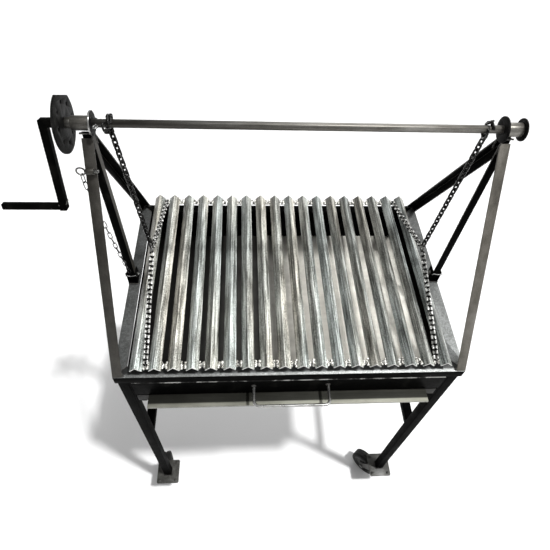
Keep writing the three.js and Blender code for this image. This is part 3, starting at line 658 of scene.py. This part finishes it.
for name, leg in (("pinTail", "tail"), ("pinTip", "tip")):
    legsOfPin.append(wire(name, [spot(splitPin["x"] + x, y, z) for x, y, z in splitPin[leg]], splitPin["wire"]))
dress(joined("splitPin", legsOfPin), "hoist", brightRod, smooth=50)
print("hoist made")


# Chain links: a ring pulled out to a long link, then laid along a line, each a quarter turn from the last.
def makeLink(name, length, width, wireSize, around=14, across=7):
    bend = (width - wireSize) / 2
    bpy.ops.mesh.primitive_torus_add(
        major_radius=bend / 1000, minor_radius=wireSize / 2000, major_segments=around, minor_segments=across)
    link = settle(named(bpy.context.object, name))
    stretch = (length - width) / 2000
    for sign in (-1, 1):
        choose(link, "VERT", lambda vertex: vertex.co.x * sign > 1e-6)
        bpy.ops.transform.translate(value=(sign * stretch, 0, 0))
        doneEditing(link)
    return link


def linkPlaces(points, pitch, roll):
    lengths = [(b - a).length for a, b in zip(points, points[1:])]
    total = sum(lengths)
    count = max(1, round(total / (pitch / 1000)))
    places = []
    for i in range(count):
        along = (i + 0.5) * total / count
        part = 0
        while part < len(lengths) - 1 and along > lengths[part]:
            along -= lengths[part]
            part += 1
        direction = (points[part + 1] - points[part]).normalized()
        at = points[part] + direction * along
        spin = Matrix.Rotation(roll + quarter * (i % 2), 4, "X")
        places.append(Matrix.Translation(at) @ direction.to_track_quat("X", "Z").to_matrix().to_4x4() @ spin)
    return places


# A link: its length, its width and its wire.
chains = {"hoistLink": (21.5, 13.8, 4.3), "hoistPitch": 13, "bridleLink": (20, 15, 4.4), "bridlePitch": 11.4,
          "topX": 347, "topZ": 454, "lift": 260, "ringX": 324.8, "ringZ": 122, "ringRadius": 8, "ringWire": 2.5,
          "footY": 255, "footZ": 31, "highlightShare": 0.27,
          "rolls": {"left": (-0.485, 0.581, 1.152), "right": (0.237, -0.389, 0.126)}}
turns = {"radius": 12.2, "from": -6, "advance": 10, "start": 2.6, "turn": 6.11869, "parts": 28, "roll": 0.4}
hoistLink = makeLink("hoistLink", *chains["hoistLink"])
bridleLink = makeLink("bridleLink", *chains["bridleLink"])
ringReach = (chains["ringRadius"] + chains["ringWire"]) / 1000
for side, sign in sideSigns.items():
    ring = spot(sign * chains["ringX"], 0, chains["ringZ"])
    top = spot(sign * chains["topX"], 0, chains["topZ"])
    bottom = ring + Vector((0, 0, ringReach))
    hoistRoll, frontRoll, rearRoll = chains["rolls"][side]
    links = copies("hoistChain" + side.title(), hoistLink, linkPlaces([bottom, top], chains["hoistPitch"], hoistRoll))
    # The hoist chains are painted dark as shade.
    dress(links, "frame", chainShade, "hoist_chain_" + side, smooth=60)
    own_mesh(links)
    ringName = "chainRing" + side.title()
    ringPiece = ringOf(ringName, ring, (0, quarter, 0), chains["ringRadius"], chains["ringWire"], around=32)
    dress(ringPiece, "grate", chainSteel, "chain_ring_" + side, smooth=60)
    for end, front, roll in (("front", -1, frontRoll), ("rear", 1, rearRoll)):
        foot = spot(sign * chains["ringX"], front * chains["footY"], chains["footZ"])
        start = ring + (foot - ring).normalized() * ringReach
        places = linkPlaces([start, foot], chains["bridlePitch"], roll)
        bridle = copies("bridleChain" + end.title() + side.title(), bridleLink, places)
        dress(bridle, "grate", [chainHighlight, chainShade], "bridle_chain_" + end + "_" + side, smooth=60)
        step = (foot - start) / len(places)
        # Each bridle link is painted bright in its middle as a highlight, and dark at its ends as painted shade with
        # dark oxide where the links meet.
        paintFaces(bridle, 1, lambda face: abs(
            (face.center - start).dot(step) / step.length_squared % 1 - 0.5) > chains["highlightShare"])
    coil = []
    for i in range(turns["parts"] + 1):
        angle = turns["start"] + i / turns["parts"] * turns["turn"]
        x = sign * chains["topX"] + turns["from"] + turns["advance"] * i / turns["parts"]
        coil.append(spot(x, turns["radius"] * math.cos(angle), shaftHeight + turns["radius"] * math.sin(angle)))
    coilPlaces = linkPlaces(coil, chains["hoistPitch"], turns["roll"])
    # The turns on the shaft are painted dark as shade.
    dress(copies("chainTurns" + side.title(), hoistLink, coilPlaces), "hoist", chainShade, smooth=60)
print("chains laid")


# Grate: folded bars, two cross rods and welds in every gap, each a few drops that stray from a row.
bars = {"count": 18, "pitch": 40.6, "leg": 20, "thick": 3, "depth": 538, "peak": 42, "round": 0.7, "rodY": 255,
        "rodZ": 23.74, "rodRadius": 4, "rodInset": 2, "rodRound": 0.6}
gapWelds = {"out": 4.2, "back": -6.5, "up": 4.4, "drops": 4, "pitch": 4, "turn": 0.8,
            "stray": ((-1.2, 1.6), (-1.2, 1.2), (-1.4, 1.6)), "size": ((2.4, 4.2), (2.6, 4.4), (1.6, 3.0))}
halfBar = bars["leg"] * math.sqrt(0.5)
bpy.ops.mesh.primitive_plane_add(size=1, location=spot(0, 0, bars["peak"] - halfBar))
barModel = named(bpy.context.object, "barModel")
barModel.scale = (2 * halfBar / 1000, bars["depth"] / 1000, 1)
settle(barModel)
choose(barModel, "EDGE", lambda edge: abs(edge.verts[0].co.y - edge.verts[1].co.y) < 1e-6)
bpy.ops.mesh.subdivide(number_cuts=1)
doneEditing(barModel)
choose(barModel, "VERT", lambda vertex: abs(vertex.co.x - rimMiddle.x) < 1e-5)
bpy.ops.transform.translate(value=(0, 0, halfBar / 1000))
doneEditing(barModel)
useModifier(barModel, "SOLIDIFY", thickness=bars["thick"] / 1000, offset=-1, use_even_offset=True)
roundEdges(barModel, bars["round"], sharper=35)
lastBar = (bars["count"] - 1) / 2
barPlaces = [Matrix.Translation(((i - lastBar) * bars["pitch"] / 1000, 0, 0)) for i in range(bars["count"])]
grateBars = copies("grateBars", barModel, barPlaces)
bpy.data.objects.remove(barModel)
dress(grateBars, "grate", [grateSteel, grateShade, cutSteel, barUndersideShade], "grate", smooth=30)
paintFaces(grateBars, 1, lambda face: face.normal.x < -facing["flank"])  # left flanks
paintFaces(grateBars, 2, lambda face: abs(face.normal.y) > facing["end"])  # sawn ends
# The undersides of the bars are painted dark as shade.
paintFaces(grateBars, 3, lambda face: face.normal.z < -facing["under"])  # undersides
rodEnd = lastBar * bars["pitch"] + halfBar - bars["rodInset"]
grateWelds = []
for name, front in (("crossRodFront", -1), ("crossRodRear", 1)):
    y = front * bars["rodY"]
    rodEnds = [spot(x, y, bars["rodZ"]) for x in (-rodEnd, rodEnd)]
    crossRod = rod(name, *rodEnds, bars["rodRadius"], sides=20, chamfer=bars["rodRound"])
    dress(crossRod, "grate", chainSteel)
    for i in range(bars["count"] - 1):
        gapX = (i - (bars["count"] - 2) / 2) * bars["pitch"]
        for step in (-1, 1):
            for n in range(gapWelds["drops"]):
                strayX, strayY, strayZ = (shake.uniform(*reach) for reach in gapWelds["stray"])
                at = spot(gapX + step * (gapWelds["out"] + strayX),
                          y + gapWelds["back"] + n * gapWelds["pitch"] + strayY,
                          bars["rodZ"] + gapWelds["up"] + strayZ)
                grow = [shake.uniform(*reach) for reach in gapWelds["size"]]
                turn = Matrix.Rotation(shake.uniform(-gapWelds["turn"], gapWelds["turn"]), 4, "Z")
                grateWelds.append(Matrix.Translation(at) @ turn @ Matrix.Diagonal((*grow, 1)))
dress(copies("grateWelds", drop, grateWelds), "grate", weldMetal, smooth=60)
print("grate made")


# Fire drawer: tray, pierced plate, front and wire handle with its welds.
sheetEdges = {"width": 0.5, "longer": 40}
tray = roundEdges(copyOfNode("fire_drawer_tray", "drawerTray"), **sheetEdges)
dress(tray, "fire_drawer", blackPaint, "fire_drawer_tray")

holes = {"columns": 15, "rows": 8, "marginX": 37.4, "marginY": 47.75, "radius": 5.5, "drillReach": 4}
plateLow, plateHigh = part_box("fire_plate")
pierced = block("firePlate", plateLow, plateHigh)
drillUp = Vector((0, 0, holes["drillReach"] / 1000))
hole = rod("hole", -drillUp, drillUp, holes["radius"], sides=16)
marginX, marginY = holes["marginX"] / 1000, holes["marginY"] / 1000
spanX = plateHigh.x - plateLow.x - 2 * marginX
spanY = plateHigh.y - plateLow.y - 2 * marginY
middleZ = (plateLow.z + plateHigh.z) / 2
drills = []
for i in range(holes["columns"]):
    for j in range(holes["rows"]):
        x = plateLow.x + marginX + i * spanX / (holes["columns"] - 1)
        y = plateLow.y + marginY + j * spanY / (holes["rows"] - 1)
        drills.append(Matrix.Translation((x, y, middleZ)))
carve(pierced, copies("plateHoles", hole, drills))
bpy.data.objects.remove(hole)
dress(pierced, "fire_drawer", plateSteel, "fire_plate")

panelEdges = {"slope": 2.4, "round": 0.3}
panelLow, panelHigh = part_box("fire_drawer_front")
panel = block("drawerFront", panelLow, panelHigh)
choose(panel, "EDGE", lambda edge: all(
    abs(vertex.co.y - panelLow.y) + abs(vertex.co.z - panelHigh.z) < 1e-5 for vertex in edge.verts))
bpy.ops.mesh.bevel(offset=panelEdges["slope"] / 1000, segments=1, affect="EDGES")
doneEditing(panel)
roundEdges(panel, panelEdges["round"], sharper=60)
dress(panel, "fire_drawer", [blackPaint, ledgeLightDashes], "fire_drawer_front")
# The top face of the drawer front is painted with dashes of light.
paintFaces(panel, 1, lambda face: face.normal.z > facing["ledge"])

grip = {"half": 88, "front": -318, "back": -267.8, "z": -61, "bend": 12, "bendParts": 8, "radius": 3.5,
        "welds": 9, "weldRing": 4.2, "weldOut": 0.3, "weldSize": (1.9, 1.3, 1.9)}
route = [spot(-grip["half"], grip["back"], grip["z"])]
for sign, first in ((-1, 2 * quarter), (1, 3 * quarter)):
    centreX, centreY = sign * (grip["half"] - grip["bend"]), grip["front"] + grip["bend"]
    for n in range(grip["bendParts"] + 1):
        angle = first + quarter * n / grip["bendParts"]
        x, y = centreX + grip["bend"] * math.cos(angle), centreY + grip["bend"] * math.sin(angle)
        route.append(spot(x, y, grip["z"]))
route.append(spot(grip["half"], grip["back"], grip["z"]))
handle = wire("drawerHandle", route, grip["radius"], smooth=False, sides=5)
dress(handle, "fire_drawer", brightRod, "fire_drawer_handle", smooth=50)
handleWelds = []
for sign in (-1, 1):
    for n in range(grip["welds"]):
        angle = n * 2 * math.pi / grip["welds"]
        x, z = grip["weldRing"] * math.cos(angle), grip["weldRing"] * math.sin(angle)
        at = spot(sign * grip["half"] + x, grip["back"] - grip["weldOut"], grip["z"] + z)
        handleWelds.append(Matrix.Translation(at) @ Matrix.Diagonal((*grip["weldSize"], 1)))
dress(copies("handleWelds", drop, handleWelds), "fire_drawer", darkWeld, smooth=60)
print("drawer made")


# Ash pan, with the bright round edge of its folded lip.
# The pan's finish carries painted shade and painted light.
dress(roundEdges(copyOfNode("ash_pan"), **sheetEdges), "ash_pan", panSteel, "ash_pan")
hem = {"half": 337.6, "y": -297.4, "z": -104.4, "radius": 1.6, "round": 0.4}
hemEnds = [spot(x, hem["y"], hem["z"]) for x in (-hem["half"], hem["half"])]
hemEdge = rod("ashPanHem", *hemEnds, hem["radius"], sides=16, chamfer=hem["round"])
dress(hemEdge, "ash_pan", brightRod)
print("ash pan made")


# Lock pin in its sleeve, and the light chain that ties it to the post.
lock = {"radius": 3.5, "length": 24, "round": 1.0, "eye": 8, "wire": 1.6, "half": 7, "sleeve": 6.5, "bore": 3.8,
        "sleeveRound": 0.5}
sleeveLow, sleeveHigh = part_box("pin_sleeve")
sleeveAt = (sleeveLow + sleeveHigh) / 2
sleeveHalf = Vector(((sleeveHigh.x - sleeveLow.x) / 2, 0, 0))
sleeveEnds = sleeveAt - sleeveHalf, sleeveAt + sleeveHalf
sleeve = tube("pinSleeve", *sleeveEnds, lock["sleeve"], lock["bore"], sides=32, chamfer=lock["sleeveRound"])
# The sleeve takes the shaded copy of the post steel, painted shade.
dress(sleeve, "frame", postShadedCopy, "pin_sleeve")
pinStart = sleeveAt + Vector((-lock["half"] - 2 * lock["wire"], 0, 0)) / 1000
pinEnd = sleeveAt + Vector((lock["length"] - lock["half"] - lock["wire"], 0, 0)) / 1000
eyeAt = sleeveAt + Vector((-lock["half"] - lock["wire"] - lock["eye"], 0, 0)) / 1000
pinEye = ringOf("lockPinEye", eyeAt, (quarter, 0, 0), lock["eye"], lock["wire"], around=36)
pinShank = rod("lockPinShank", pinStart, pinEnd, lock["radius"], sides=28, chamfer=lock["round"])
dress(joined("lockPin", [pinShank, pinEye]), "lock_pin", chainSteel, "lock_pin", smooth=50)

tie = {"link": (23, 9.2, 2), "pitch": 19, "roll": 0.4, "inEye": 1, "first": 20, "sag": 6,
       "foot": (-388.2, -12.4, 46), "parts": 12, "blendTo": 8, "dark": 190}
smallLink = makeLink("smallLink", *tie["link"], around=12, across=6)
tieTop = eyeAt - Vector((0, 0, (lock["eye"] - tie["inEye"]) / 1000))
tieBelow = tieTop - Vector((0, 0, tie["first"] / 1000))
tieFoot = spot(*tie["foot"])
lanyardRoute = [tieTop, tieBelow]
for n in range(1, tie["parts"] + 1):
    share = n / tie["parts"]
    sag = Vector((0, -tie["sag"] / 1000 * 4 * share * (1 - share), 0))
    lanyardRoute.append(tieBelow.lerp(tieFoot, share) + sag)
lanyard = copies("lanyard", smallLink, linkPlaces(lanyardRoute, tie["pitch"], tie["roll"]))
dress(lanyard, None, [chainSteel, chainShade], "lanyard", smooth=60)
shadedBelow = spot(0, 0, tie["dark"]).z
# The lower links of the lanyard are painted dark as shade.
paintFaces(lanyard, 1, lambda face: face.center.z < shadedBelow)
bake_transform(lanyard)
print("lock pin made")


# Casters: plate with bolts, fork, axle nuts and a ribbed wheel.
caster = {"angles": {"front_left": 15, "front_right": 42, "rear_left": 12, "rear_right": 20},
          "legX": 384.2, "legY": 254.2, "top": -812, "drop": 78, "trail": 46, "boltX": 28, "boltY": 30,
          "washer": 6, "washerThick": 1, "nut": 4.4, "nutTop": 4.5, "tip": 2.4, "tipTop": 6.5, "tipRound": 0.4,
          "axleNut": 7.5, "axleFrom": 22.1, "axleTo": 27, "plateRound": 0.9, "forkRound": 0.6}
# Half profiles of the wheel: the distance from its middle plane, then the radius.
wheel = {"sides": 72, "tyre": [(15.4, 36), (17, 37.5), (17, 44.5), (15.4, 47.6), (12.8, 49.4), (11.2, 49.6),
                               (10.2, 47.8), (9, 47.8), (8, 49.6), (3, 49.6), (2, 47.8), (0.6, 47.8)],
         "core": [(18.2, 5.3), (18.5, 6), (18.5, 12.6), (17.4, 14), (10.6, 15), (10, 16), (10, 32), (11, 33.5),
                  (15.4, 34.5), (15.4, 36)]}


def spunWheel(name, profile, sides):
    bpy.ops.mesh.primitive_circle_add(vertices=len(profile), radius=0.01)
    piece = named(bpy.context.object, name)
    for vertex, (x, r) in zip(piece.data.vertices, profile):
        vertex.co = (x / 1000, 0, r / 1000)
    editing(piece, "VERT")
    bpy.ops.mesh.select_all(action="SELECT")
    bpy.ops.mesh.spin(steps=sides, angle=2 * math.pi, center=(0, 0, 0), axis=(1, 0, 0))
    bpy.ops.mesh.select_all(action="SELECT")
    bpy.ops.mesh.remove_doubles(threshold=1e-6)
    bpy.ops.mesh.normals_make_consistent(inside=False)
    return doneEditing(piece)


def mirrored(profile):
    return profile + [(-x, r) for x, r in reversed(profile)]


for corner, (sideX, sideY) in corners.items():
    pivot = spot(sideX * caster["legX"], sideY * caster["legY"], caster["top"])
    swivel = Matrix.Translation(pivot) @ Matrix.Rotation(math.radians(caster["angles"][corner]), 4, "Z")
    plate = roundEdges(copyOfNode("caster_plate_" + corner), caster["plateRound"], sharper=60)
    dress(plate, "frame", plateBlack, "caster_plate_" + corner)
    boltPieces = []
    for x in (-1, 1):
        for y in (-1, 1):
            at = pivot + Vector((x * caster["boltX"], y * caster["boltY"], 0)) / 1000
            onWasher, onNut, onTip = (
                at + Vector((0, 0, caster[top] / 1000)) for top in ("washerThick", "nutTop", "tipTop"))
            boltPieces.append(rod("footWasher", at, onWasher, caster["washer"], chamfer=bolt["washerRound"]))
            boltPieces.append(hexagonHead("footNut", onWasher, onNut, caster["nut"]))
            boltPieces.append(rod("footTip", at, onTip, caster["tip"], sides=16, chamfer=caster["tipRound"]))
    dress(joined(inWords("caster_bolts_" + corner), boltPieces), "frame", plateBlack)
    forkBody = "caster_fork_" + corner
    fork = roundEdges(copyOfNode(forkBody), caster["forkRound"], longer=2, sharper=50)
    dress(fork, forkBody, plateBlack, forkBody)
    nuts = []
    for side in (-1, 1):
        ends = [swivel @ (Vector((side * reach, caster["trail"], -caster["drop"])) / 1000)
                for reach in (caster["axleFrom"], caster["axleTo"])]
        nuts.append(hexagonHead("axleNut", *ends, caster["axleNut"]))
    dress(joined(inWords("axle_nuts_" + corner), nuts), forkBody, chainSteel)
    hubPlace = swivel @ Matrix.Translation(Vector((0, caster["trail"], -caster["drop"])) / 1000)
    wheelBody = "caster_wheel_" + corner
    for part, finish in (("tyre", rubber), ("core", wheelCentre)):
        piece = spunWheel(inWords("caster_" + part + "_" + corner), mirrored(wheel[part]), wheel["sides"])
        piece.data.transform(hubPlace)
        dress(piece, wheelBody, finish, wheelBody, smooth=40)
for model in (drop, hoistLink, bridleLink, smallLink):
    bpy.data.objects.remove(model)
print("casters made")


# Floor, light and camera.
ground = {"size": 30000, "tone": 0.86, "rough": 0.9, "below": 0.5}
bpy.ops.mesh.primitive_plane_add(size=ground["size"] / 1000, location=(0, 0, -ground["below"] / 1000))
floor = named(bpy.context.object, "floor")
floorPaint = bpy.data.materials.new("floorPaint")
floorPaint.use_nodes = True
floorShader = floorPaint.node_tree.nodes["Principled BSDF"]
floorShader.inputs["Base Color"].default_value = (ground["tone"], ground["tone"], ground["tone"], 1)
floorShader.inputs["Roughness"].default_value = ground["rough"]
floor.data.materials.append(floorPaint)

studio = {"sky": 0.42, "skySide": 0.42, "skyFrom": (0.9, -0.2, 0.3), "sun": 3.0, "sunAngle": 3.5,
          "sunFrom": (0.345, -0.181, 1.0), "sunAway": 3000, "panel": 13, "panelWide": 900, "panelLong": 1200,
          "panelAt": (420, 850, 1150), "panelAim": (60, -40, 0)}
world = bpy.data.worlds.new("studioWorld")
bpy.context.scene.world = world
world.use_nodes = True
skyTree = world.node_tree
skyPlace = skyTree.nodes.new("ShaderNodeTexCoord")
skySide = skyTree.nodes.new("ShaderNodeVectorMath")
skySide.operation = "DOT_PRODUCT"
skySide.inputs[1].default_value = Vector(studio["skyFrom"]).normalized()
skyShare = skyTree.nodes.new("ShaderNodeMath")
skyShare.operation = "MULTIPLY_ADD"
skyShare.inputs[1].default_value = studio["skySide"]
skyShare.inputs[2].default_value = studio["sky"]
skyTree.links.new(skyPlace.outputs["Generated"], skySide.inputs[0])
skyTree.links.new(skySide.outputs["Value"], skyShare.inputs[0])
skyTree.links.new(skyShare.outputs["Value"], skyTree.nodes["Background"].inputs["Strength"])
skyTree.nodes["Background"].inputs["Color"].default_value = (1, 1, 1, 1)


def addLight(name, kind, place, aim, energy):
    light = bpy.data.objects.new(name, bpy.data.lights.new(name, kind))
    bpy.context.scene.collection.objects.link(light)
    light.location = place
    light.rotation_euler = (aim - place).to_track_quat("-Z", "Y").to_euler()
    light.data.energy = energy
    return light


sunPlace = rimMiddle + Vector(studio["sunFrom"]) * studio["sunAway"] / 1000
sun = addLight("softSun", "SUN", sunPlace, rimMiddle, studio["sun"])
sun.data.angle = math.radians(studio["sunAngle"])
ceiling = addLight("ceilingPanel", "AREA", spot(*studio["panelAt"]), spot(*studio["panelAim"]), studio["panel"])
ceiling.data.shape = "RECTANGLE"
ceiling.data.size = studio["panelWide"] / 1000
ceiling.data.size_y = studio["panelLong"] / 1000

# The camera's focal length is in pixels of a picture 550 wide.
shot = {"place": (-109.7, -728.3, 972.2), "down": 52.53, "roll": 4.65, "turn": 6.25, "focal": 468.4, "frame": 550,
        "sensor": 36}
down, roll, turn = (math.radians(shot[key]) for key in ("down", "roll", "turn"))
ahead = Vector((math.sin(turn), math.cos(turn), 0))
level = Vector((math.cos(turn), -math.sin(turn), 0))
sight = ahead * math.cos(down) - Vector((0, 0, 1)) * math.sin(down)
upright = Vector((0, 0, 1)) * math.cos(down) + ahead * math.sin(down)
right = level * math.cos(roll) + upright * math.sin(roll)
above = upright * math.cos(roll) - level * math.sin(roll)
camera = bpy.data.objects.new("camera", bpy.data.cameras.new("camera"))
bpy.context.scene.collection.objects.link(camera)
camera.data.sensor_width = shot["sensor"]
camera.data.lens = shot["focal"] / shot["frame"] * shot["sensor"]
turnOf = Matrix((right, above, -sight)).transposed().to_4x4()
camera.matrix_world = Matrix.Translation(spot(*shot["place"])) @ turnOf
bpy.context.scene.camera = camera
bpy.context.scene.view_settings.view_transform = "Standard"

print("scene ready")
